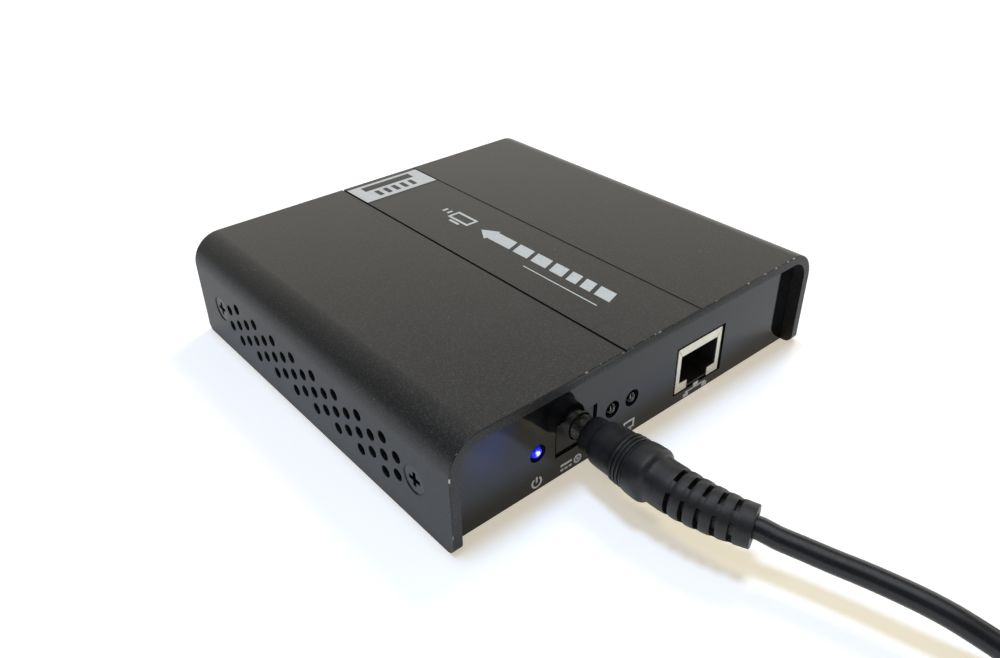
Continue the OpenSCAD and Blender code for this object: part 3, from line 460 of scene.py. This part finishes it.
def outer_rim(edge):
    """Whether an edge of the cover runs round the outside of its front or back end."""
    a, b = (vert.co / MM for vert in edge.verts)
    half = (COVER_HIGH.y - COVER_LOW.y) / 2 / MM
    top = COVER_HIGH.z / MM
    near = 0.01
    if min(abs(a.y), abs(b.y)) < half - near or len(edge.link_faces) != 2:
        return False
    middle = (a + b) / 2
    in_groove = max(a.z, b.z) < top - near and abs(middle.x) < GROOVES_IN_X
    if in_groove:
        return False
    outward = Vector((middle.x, 0.0, middle.z - top / 2))
    sides = [face.normal for face in edge.link_faces if abs(face.normal.y) < 0.5]
    return len(sides) == 1 and sides[0].dot(outward) > 0.0


def dressed_copy(node, name, material, width, edge_material=None, segments=2, rim=None):
    """Copy of a housing node, flat faces joined and edges rounded, which replaces the node."""
    data = NODES[node].data.copy()
    obj = linked(name, data)
    edit = bmesh.new()
    edit.from_mesh(data)
    bmesh.ops.remove_doubles(edit, verts=edit.verts, dist=2e-6)
    bmesh.ops.dissolve_limit(edit, angle_limit=math.radians(1.0), verts=edit.verts,
                             edges=edit.edges)
    if rim:
        weight = edit.edges.layers.float.new("bevel_weight_edge")
        for edge in edit.edges:
            edge[weight] = 1.0 if rim(edge) else 0.0
    edit.to_mesh(data)
    edit.free()
    data.materials.clear()
    data.materials.append(M[material])
    if edge_material:
        data.materials.append(M[edge_material])
    if data.has_custom_normals:
        with bpy.context.temp_override(object=obj, active_object=obj, selected_objects=[obj]):
            bpy.ops.mesh.customdata_custom_splitnormals_clear()
    bevelled(obj, width, segments=segments, material_index=1 if edge_material else -1,
             weighted=rim is not None)
    shade(obj, 40.0)
    flat = obj.modifiers.new("flat", "WEIGHTED_NORMAL")
    flat.mode = "FACE_AREA"
    flat.weight = 100
    flat.keep_sharp = True
    settled(obj)
    return finished(obj, "housing", None, (node,))


def extruded(name, outlines, place, height, material):
    """Flat outlines in mm on the housing, raised by height. place(u, v, h) gives a point."""
    verts, faces = [], []
    for outline in outlines:
        n, first = len(outline), len(verts)
        verts += [place(u, v, h) for h in (0.0, height) for u, v in outline]
        faces.append([first + i for i in range(n)])
        faces.append([first + n + i for i in range(n)])
        faces += [[first + i, first + (i + 1) % n, first + n + (i + 1) % n, first + n + i]
                  for i in range(n)]
    finished(new_mesh(name, verts, faces), "housing", material)


def bar(a, b, width):
    """Outline of a straight stroke."""
    ax, ay = a
    bx, by = b
    length = math.hypot(bx - ax, by - ay)
    nx, ny = -(by - ay) / length * width / 2, (bx - ax) / length * width / 2
    return [(ax + nx, ay + ny), (bx + nx, by + ny), (bx - nx, by - ny), (ax - nx, ay - ny)]


def arc(centre, radius, width, start, end):
    """Outline of a curved stroke, from start to end in degrees."""
    out, steps = [], 28
    for r, order in ((radius + width / 2, range(steps + 1)),
                     (radius - width / 2, range(steps, -1, -1))):
        for i in order:
            a = math.radians(start + (end - start) * i / steps)
            out.append((centre[0] + r * math.cos(a), centre[1] + r * math.sin(a)))
    return out


def boxed(low, high, width):
    """The four sides of a rectangle, as bars."""
    (x0, y0), (x1, y1) = low, high
    h = width / 2
    return [bar((x0 - h, y0), (x1 + h, y0), width), bar((x0 - h, y1), (x1 + h, y1), width),
            bar((x0, y0 + h), (x0, y1 - h), width), bar((x1, y0 + h), (x1, y1 - h), width)]


def revolved(profile, steps, place):
    """Verts and faces of a profile of (along, radius) that place(along, radius, angle) turns."""
    verts, faces = [], []
    n = len(profile)
    for k in range(steps):
        a = 2 * math.pi * k / steps
        verts += [place(s, r, a) for s, r in profile]
    for k in range(steps):
        m = (k + 1) % steps
        faces += [[k * n + i, k * n + i + 1, m * n + i + 1, m * n + i] for i in range(n - 1)]
    return verts, faces


# Case
COVER_LOW, COVER_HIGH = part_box("top_cover")
GROOVES_IN_X = 40.0
SHALLOW_GROOVE = COVER_HIGH.z - 0.12 * MM
cover = dressed_copy("top_cover", "cover_shell", "cover", 0.22,
                     edge_material="cover_edge", segments=3, rim=outer_rim)
for vert in cover.data.vertices:
    in_right_groove = (0.0 < vert.co.x < GROOVES_IN_X * MM
                       and COVER_HIGH.z - 0.8 * MM < vert.co.z < SHALLOW_GROOVE)
    if in_right_groove:
        vert.co.z = SHALLOW_GROOVE
dressed_copy("cover_screws", "case_screws", "screw", 0.08)
dressed_copy("base_tray", "tray_sheet", "tray", 0.12)
dressed_copy("net_shield", "socket_shield", "tin", 0.06)
dressed_copy("jack_body", "jack_block", "plastic", 0.12)
dressed_copy("picture_shell", "picture_frame", "tin", 0.08)
dressed_copy("heatsink", "chip_heatsink", "sink", 0.12)
dressed_copy("capacitors", "capacitor_cans", "can", 0.2)

for material, nodes_named in {
        "label": ("top_label",),
        "film": ("front_film",),
        "rear_film": ("rear_film",),
        "brass": ("board_spacers",),
        "board": ("circuit_board",),
        "tin": ("board_screws", "jack_pin", "jack_spring", "lamp_legs", "crystals", "usb_shell"),
        "gold": ("net_contacts", "picture_contacts", "plug_contact", "usb_contacts"),
        "dark_plastic": ("net_insert", "lamp_holders"),
        "plastic": ("picture_tongue", "capacitor_bases", "plug_insulator"),
        "lamp": ("power_lamp",),
        "lens": ("status_lamps",),
        "chip": ("receiver_chip", "network_chip", "network_transformer", "regulator",
                 "memory_chip"),
        "ferrite": ("power_coils",),
        "ceramic": ("small_parts",),
        "barrel": ("plug_barrel",),
        "white": ("usb_insert",)}.items():
    for node in nodes_named:
        NODES[node].data.materials.clear()
        NODES[node].data.materials.append(M[material])

# Print on the top, the front and the label
INK = 0.02
LABEL_LOW, LABEL_HIGH = (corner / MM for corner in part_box("top_label"))


def on_top(u, v, h):
    return (u, v, COVER_HIGH.z / MM + h)


def on_front(u, v, h):
    return (u, FACE - h, v)


def on_label(u, v, h):
    return (u, v, LABEL_HIGH.z + h)


# The arrow: its head, then its shaft in seven pieces with slanted cuts between them
arrow = [[(2.0, 7.4), (-0.6, 3.3), (0.3, 3.3), (0.3, 2.9), (3.9, 2.9), (3.9, 3.3), (4.6, 3.3)]]
slant = 1.2
for k, (top, low) in enumerate([(2.9, -3.4), (-4.6, -9.4), (-10.6, -15.4), (-16.6, -20.6),
                                (-21.8, -24.8), (-26.0, -29.0), (-30.2, -34.6)]):
    arrow.append([(0.3, top - slant if k else top), (0.3, low - slant), (3.9, low), (3.9, top)])
extruded("top_arrow", arrow, on_top, INK, "print")
picture_sign = boxed((0.9, 11.6), (3.9, 18.4), 0.7)
picture_sign += [bar((-0.3, 13.2), (-0.3, 16.8), 0.7), bar((1.6, 20.2), (3.2, 20.2), 0.7),
                 bar((1.6, 22.0), (3.2, 22.0), 0.7)]
extruded("top_screen_sign", picture_sign, on_top, INK, "print")
top_rule = bar((-2.5, -35.0), (-2.5, -12.6), 0.3)
extruded("top_rule", [top_rule], on_top, INK, "print")

power_sign = [arc((-29.7, 2.0), 1.15, 0.42, 125, 415), bar((-29.7, 2.0), (-29.7, 3.35), 0.42)]
dc_sign = [bar((-23.4, 2.3), (-20.4, 2.3), 0.55), bar((-23.4, 1.15), (-22.6, 1.15), 0.55),
           bar((-22.3, 1.15), (-21.5, 1.15), 0.55), bar((-21.2, 1.15), (-20.4, 1.15), 0.55),
           arc((-18.8, 1.75), 0.85, 0.45, 0, 180), arc((-18.8, 1.75), 0.85, 0.45, 180, 360),
           bar((-19.1, 1.75), (-18.5, 1.75), 0.6)]
screen_sign = boxed((-5.4, 1.4), (-2.6, 3.2), 0.5) + [bar((-4.9, 0.7), (-3.1, 0.7), 0.5)]
net_sign = [bar((14.2, 1.55), (20.9, 1.55), 0.36)]
net_sign += [bar((x, 1.55), (x, 2.2 if x == 17.55 else 0.9), 0.5) for x in (14.4, 17.55, 20.7)]
net_sign += [bar((16.7, 2.35), (18.4, 2.35), 0.9), bar((13.55, 0.75), (15.25, 0.75), 0.9),
             bar((19.85, 0.75), (21.55, 0.75), 0.9)]
extruded("front_signs", power_sign + dc_sign + screen_sign + net_sign, on_front, INK,
         "front_print")

label_mid = (LABEL_LOW.x + LABEL_HIGH.x) / 2
bar_y, tick_y = LABEL_HIGH.y - 2.4, LABEL_LOW.y + 1.6
label_bar = bar((label_mid - 7.5, bar_y), (label_mid + 7.5, bar_y), 2.6)
extruded("label_bar", [label_bar], on_label, INK, "dark_print")
ticks = [bar((label_mid + 2.6 * k, tick_y), (label_mid + 2.6 * k, tick_y + 3.2), 1.3)
         for k in range(-2, 3)]
extruded("label_ticks", ticks, on_label, INK, "dark_print")


# Power plug: one moulded grip with fine rings, and a strain relief with windows
GRIP_PROFILE = [(2.4, 2.85), (0.0, 2.85), (0.0, 3.42), (0.06, 3.58), (0.2, 3.72), (0.45, 3.8),
                (1.4, 3.86), (2.6, 3.92), (2.9, 3.98), (3.1, 4.12), (3.35, 4.36), (3.65, 4.54),
                (4.1, 4.64), (5.5, 4.71), (8.6, 4.8), (8.8, 4.85), (9.0, 5.0), (9.2, 5.08),
                (9.55, 5.12)]
for ring in (9.75, 10.6, 11.45):
    GRIP_PROFILE += [(ring, 5.08), (ring + 0.08, 4.82), (ring + 0.34, 4.84),
                     (ring + 0.42, 5.14), (ring + 0.62, 5.2)]
GRIP_PROFILE += [(12.3, 5.24), (12.36, 5.14), (12.5, 5.14), (12.56, 5.32), (13.2, 5.42),
                 (14.2, 5.48), (15.3, 5.5), (15.8, 5.47), (16.15, 5.33), (16.4, 5.1),
                 (16.6, 4.86), (16.8, 4.67), (17.1, 4.6), (18.0, 4.58)]
WINDOWS = [3.7 + 2.7 * i for i in range(5)]
WINDOW_HALF = 0.42
WINDOW_CORE_R = 2.9
WINDOW_HALF_ANGLES = (math.radians(36.0), math.radians(20.0))
WINDOW_ROLL = math.radians(4.0)


def boot_rows():
    """Rows of (along, radius, radius inside a window), from the nose to the cord's end."""
    rows = [(s, r, r) for s, r in GRIP_PROFILE]
    marks = {0.6, 1.2, 1.9, 16.0, 16.6, 17.0, 17.25}
    for w in WINDOWS:
        marks.update((w - 0.9, w - 0.6, w - 0.44, w - 0.4, w - 0.2, w,
                      w + 0.2, w + 0.4, w + 0.44, w + 0.6, w + 0.9))
    marks.update(w + 1.35 for w in WINDOWS[:-1])
    for s in sorted(marks):
        outer = 4.58 - 0.2 * smooth((s - 2.0) / 9.0) - 0.5 * smooth((s - 7.0) / 12.0)
        near = min(abs(s - w) for w in WINDOWS)
        radius = outer - 0.16 * (1.0 - smooth((near - 0.1) / 0.75))
        rows.append((GRIP_LENGTH + s, radius, WINDOW_CORE_R if near < WINDOW_HALF else radius))
    end = GRIP_LENGTH + RELIEF_LENGTH
    rows += [(end + s, r, r) for s, r in ((-0.03, 3.9), (0.0, 3.85), (0.0, 3.4), (0.0, 2.6),
                                          (-0.15, 2.45), (-1.5, 2.45), (-1.5, 0.6))]
    return rows


def boot_angles():
    """Angles round the boot, close together at the sides of its windows."""
    angles = []
    for k in range(4):
        middle, half = k * math.pi / 2, WINDOW_HALF_ANGLES[k % 2]
        angles += [middle + half * i / 6 for i in range(-6, 7)]
        angles += [middle - half - 0.03, middle + half + 0.03]
        gap = math.pi / 2 - sum(WINDOW_HALF_ANGLES) - 0.06
        angles += [middle + half + 0.03 + gap * i / 5 for i in range(1, 5)]
    return sorted(angles)


def in_window(angle):
    quarter = round(angle / (math.pi / 2))
    return abs(angle - quarter * math.pi / 2) < WINDOW_HALF_ANGLES[quarter % 2] + 0.01


def plug_boot():
    rows, angles = boot_rows(), boot_angles()
    verts, faces = [], []
    for s, outside, inside in rows:
        if s <= GRIP_LENGTH:
            place, way = Vector((JACK[0], NOSE_Y - s, JACK[1])), Vector((0.0, -1.0, 0.0))
        else:
            place, way = relief_at(s - GRIP_LENGTH)
        side = Vector((-way.y, way.x, 0.0))
        for a in angles:
            radius = inside if in_window(a) else outside
            turn = a + WINDOW_ROLL
            verts.append(place + radius * (math.cos(turn) * side
                                           + math.sin(turn) * Vector((0, 0, 1))))
    n, last = len(angles), len(rows) - 1
    for i in range(last):
        faces += [[i * n + k, i * n + (k + 1) % n, (i + 1) * n + (k + 1) % n, (i + 1) * n + k]
                  for k in range(n)]
    faces += [list(range(n)), [last * n + k for k in range(n)]]
    obj = new_mesh("plug_boot", verts, faces)
    shade(obj, 42.0)
    finished(obj, "power_lead", "rubber", ("plug_grip",))


plug_boot()


# Lead
def lead_cord(far_pieces):
    data = bpy.data.curves.new("lead_cord", "CURVE")
    data.dimensions = "3D"
    data.bevel_depth = CORD_D / 2 * MM
    data.bevel_resolution = 6
    data.use_fill_caps = True
    spline = data.splines.new("POLY")
    spline.points.add(len(cord_path) - 1)
    for point, place in zip(spline.points, cord_path):
        point.co = (*(place * MM), 1.0)
    spline.use_smooth = True
    obj = linked("lead_cord", data)
    finished(obj, "power_lead", "jacket", ("power_cord", "power_cord_coil"))


def rounded_box(name, low, high, radius, segments, body, material, replaced=()):
    """Box from low to high in mm, with round edges."""
    (x0, y0, z0), (x1, y1, z1) = low, high
    verts = [(x, y, z) for x in (x0, x1) for y in (y0, y1) for z in (z0, z1)]
    faces = [[0, 1, 3, 2], [4, 6, 7, 5], [0, 4, 5, 1], [2, 3, 7, 6], [0, 2, 6, 4], [1, 5, 7, 3]]
    obj = new_mesh(name, verts, faces)
    bevelled(obj, radius, segments=segments)
    shade(obj, 50.0)
    return finished(obj, body, material, replaced)


def usb_boot():
    """Grip of the USB plug and the ringed neck behind it."""
    low, high = (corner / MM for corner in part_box("usb_grip"))
    relief_y = USB_AT[1] - 8.0
    profile = [(0.0, 2.1), (0.0, 2.45), (0.2, 2.6)]
    for i in range(4):
        s = 0.9 + 1.7 * i
        r = 2.65 + 0.2 * s / 1.7
        profile += [(s, r), (s + 0.1, r - 0.35), (s + 0.6, r - 0.35), (s + 0.7, r + 0.05)]
    profile += [(8.2, 3.7), (8.6, 3.9)]
    verts, faces = revolved(profile, 40, lambda s, r, a: (
        USB_AT[0] + r * math.cos(a), USB_AT[1] - s, USB_AT[2] + r * math.sin(a)))
    neck = new_mesh("usb_neck", verts, faces)
    shade(neck, 50.0)
    finished(neck, "power_lead", "rubber")
    grip = rounded_box("usb_boot", tuple(low), (high.x, relief_y, high.z), 2.2, 6,
                       "power_lead", "rubber", ("usb_grip",))
    return [grip, neck]


def lead_tie():
    """Flat strap round one side of the coil."""
    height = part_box("cord_tie")[1].z / MM
    angle = math.radians(COIL_START - 180)
    radius, thick, width = 1.9, 0.5, 4.0
    play = 0.2
    inner_w = 3 * COIL_PITCH + CORD_D + play
    inner_h = COIL_PITCH + CORD_D + play
    outline = []
    for cx, cy, start in ((1, 1, 0), (-1, 1, 90), (-1, -1, 180), (1, -1, 270)):
        for i in range(9):
            a = math.radians(start + 90 * i / 8)
            outline.append((cx * (inner_w / 2 - radius), cy * (inner_h / 2 - radius), a))
    verts, faces = [], []
    middle = COIL_IN_R + 2 * COIL_PITCH
    for cx, cy, a in outline:
        for r, y in ((radius, -width / 2), (radius, width / 2), (radius + thick, width / 2),
                     (radius + thick, -width / 2)):
            u = middle + cx + r * math.cos(a)
            verts.append((COIL_AT[0] + (u * math.cos(angle) - y * math.sin(angle)),
                          COIL_AT[1] + (u * math.sin(angle) + y * math.cos(angle)),
                          height / 2 + cy + r * math.sin(a)))
    n = len(outline)
    for k in range(n):
        m = (k + 1) % n
        faces += [[4 * k + j, 4 * k + (j + 1) % 4, 4 * m + (j + 1) % 4, 4 * m + j]
                  for j in range(4)]
    obj = new_mesh("lead_tie", verts, faces)
    bevelled(obj, 0.12)
    shade(obj, 40.0)
    return finished(obj, "power_lead", "strap", ("cord_tie",))


lead_cord(usb_boot() + [lead_tie()] + [NODES["usb_" + part]
                                       for part in ("shell", "insert", "contacts")])


# Small detail in the front openings
SHIELD_LOW, SHIELD_HIGH = (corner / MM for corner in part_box("net_shield"))


def on_shield(u, v, h):
    return (u, SHIELD_LOW.y - h, v)


# Painted shade: thin dark strips along the shield's two seams, where their gaps are shaded
seam_shade_strips = [bar((x + way * 0.05, SHIELD_HIGH.z - 0.05), (x + way * 1.3, SHIELD_HIGH.z - 2.05), 0.1)
         for x, way in ((SHIELD_LOW.x, 1), (SHIELD_HIGH.x, -1))]
extruded("shield_seam_shade", seam_shade_strips, on_shield, 0.01, "dark_print")


def lamp_posts():
    """A small metal post and cup inside each clear lens, seen through it."""
    low, high = (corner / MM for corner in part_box("status_lamps"))
    radius = (high.z - low.z) / 2 - 0.4
    z = (low.z + high.z) / 2
    front = low.y + 0.55
    back = front + 0.4
    for k, x in enumerate((low.x + 0.4 + radius, high.x - 0.4 - radius), 1):
        rounded_box("lamp_post_%d" % k, (x - 0.4, front, z - 0.2), (x - 0.18, back, z + 0.75),
                    0.05, 1, "housing", "can")
        rounded_box("lamp_cup_%d" % k, (x + 0.1, front, z - 0.8), (x + 0.6, back, z + 0.1),
                    0.08, 1, "housing", "ferrite")


lamp_posts()


# Floor, world and lights
FLOOR_HALF = 3.0  # in metres
FLOOR_COLOUR = (0.80, 0.80, 0.80)
FLOOR_GLOW = (0.50, 0.46, 0.38)
SUN_ANGLE = math.radians(14)


def white_rays(nodes, links):
    """1 for rays from the camera, mirrors and glass."""
    path = nodes.new("ShaderNodeLightPath")
    value = path.outputs["Is Camera Ray"]
    for name in ("Is Glossy Ray", "Is Transmission Ray"):
        value = combined(nodes, links, "MAXIMUM", value, path.outputs[name])
    return value


def add_floor():
    """Pale floor with a faint warm glow, stronger to the camera."""
    corners = ((-1, -1), (1, -1), (1, 1), (-1, 1))
    data = bpy.data.meshes.new("floor")
    data.from_pydata([(x * FLOOR_HALF, y * FLOOR_HALF, 0) for x, y in corners], [],
                     [(0, 1, 2, 3)])
    floor = linked("floor", data)
    made = bpy.data.materials.new("pale_floor")
    made.use_nodes = True
    nodes, links = made.node_tree.nodes, made.node_tree.links
    nodes.clear()
    matt = nodes.new("ShaderNodeBsdfDiffuse")
    matt.inputs["Color"].default_value = (*FLOOR_COLOUR, 1.0)
    glow = nodes.new("ShaderNodeEmission")
    glow.inputs["Color"].default_value = (*FLOOR_GLOW, 1.0)
    from_camera = nodes.new("ShaderNodeLightPath").outputs["Is Camera Ray"]
    strength = combined(nodes, links, "ADD",
                        mapped(nodes, links, from_camera, 0.0, 1.0, 0.0, 0.4),
                        mapped(nodes, links, white_rays(nodes, links), 0.0, 1.0, 0.0, 0.6))
    links.new(strength, glow.inputs["Strength"])
    both = nodes.new("ShaderNodeAddShader")
    out = nodes.new("ShaderNodeOutputMaterial")
    links.new(matt.outputs["BSDF"], both.inputs[0])
    links.new(glow.outputs["Emission"], both.inputs[1])
    links.new(both.outputs["Shader"], out.inputs["Surface"])
    data.materials.append(made)


def add_world():
    """White to the camera, and dim and warm to matt surfaces.

    Glossy ones see it brightest low at the far right and straight overhead.
    """
    world = bpy.data.worlds.new("studio")
    scene.world = world
    world.use_nodes = True
    nodes, links = world.node_tree.nodes, world.node_tree.links
    way = nodes.new("ShaderNodeTexCoord").outputs["Generated"]
    across = nodes.new("ShaderNodeVectorMath")
    across.operation = "DOT_PRODUCT"
    links.new(way, across.inputs[0])
    across.inputs[1].default_value = (0.86, 0.5, 0.0)
    split = nodes.new("ShaderNodeSeparateXYZ")
    links.new(way, split.inputs["Vector"])
    height = split.outputs["Z"]
    far_right = mapped(nodes, links, across.outputs["Value"], -0.1, 0.6, 0.0, 1.0)
    low = mapped(nodes, links, height, 0.72, 0.36, 0.0, 1.0)
    overhead = mapped(nodes, links, height, 0.8, 1.0, 0.0, 1.0)
    shiny = mixed(nodes, links, combined(nodes, links, "MULTIPLY", far_right, low),
                  (0.13, 0.13, 0.135), (1.36, 1.3, 1.18))
    shiny = mixed(nodes, links, overhead, shiny, (1.9, 1.95, 2.05))
    path = nodes.new("ShaderNodeLightPath")
    colour = mixed(nodes, links, white_rays(nodes, links), (0.24, 0.22, 0.19), shiny)
    colour = mixed(nodes, links, path.outputs["Is Camera Ray"], colour, (1.0, 1.0, 1.0))
    links.new(colour, nodes["Background"].inputs["Color"])


def add_light(name, kind, colour, energy, back, place=(0, 0, 0)):
    """Light at a place in mm, which shines away from the way back."""
    data = bpy.data.lights.new(name, kind)
    data.color = colour
    data.energy = energy
    lamp = linked(name, data)
    turn = Vector(back).to_track_quat("Z", "Y").to_matrix().to_4x4()
    lamp.matrix_world = Matrix.Translation(mm(*place)) @ turn
    return lamp


def add_lead_light():
    """Small soft light over the lead, which draws a streak along it."""
    lamp = add_light("lead_light", "AREA", (0.72, 0.84, 1.0), 0.012, (-61, 59, 100),
                     (-69, -46, 108))
    lamp.data.size = 0.022


def add_sun(name, colour, energy, back):
    """Broad soft sun that glossy surfaces don't mirror."""
    lamp = add_light(name, "SUN", colour, energy, back)
    lamp.data.angle = SUN_ANGLE
    lamp.visible_glossy = False


def add_lamp_glow():
    """Blue light that the lit lamp throws in front of the panel."""
    lamp = add_light("lamp_glow", "SPOT", (0.05, 0.1, 1.0), 0.0012, (0.3, 0.85, 0.6),
                     (LAMP_X, FACE - 1.2, LAMP_Z))
    lamp.data.spot_size = math.radians(70)
    lamp.data.spot_blend = 1.0
    lamp.data.shadow_soft_size = 0.001


add_floor()
add_world()
add_lead_light()
add_sun("cool_light", (0.48, 0.66, 1.0), 1.9, (0.0, 0.08, 1.0))
add_sun("warm_light", (1.0, 0.86, 0.48), 0.85, (0.72, 0.3, 1.0))
add_lamp_glow()
scene.view_settings.view_transform = "Standard"
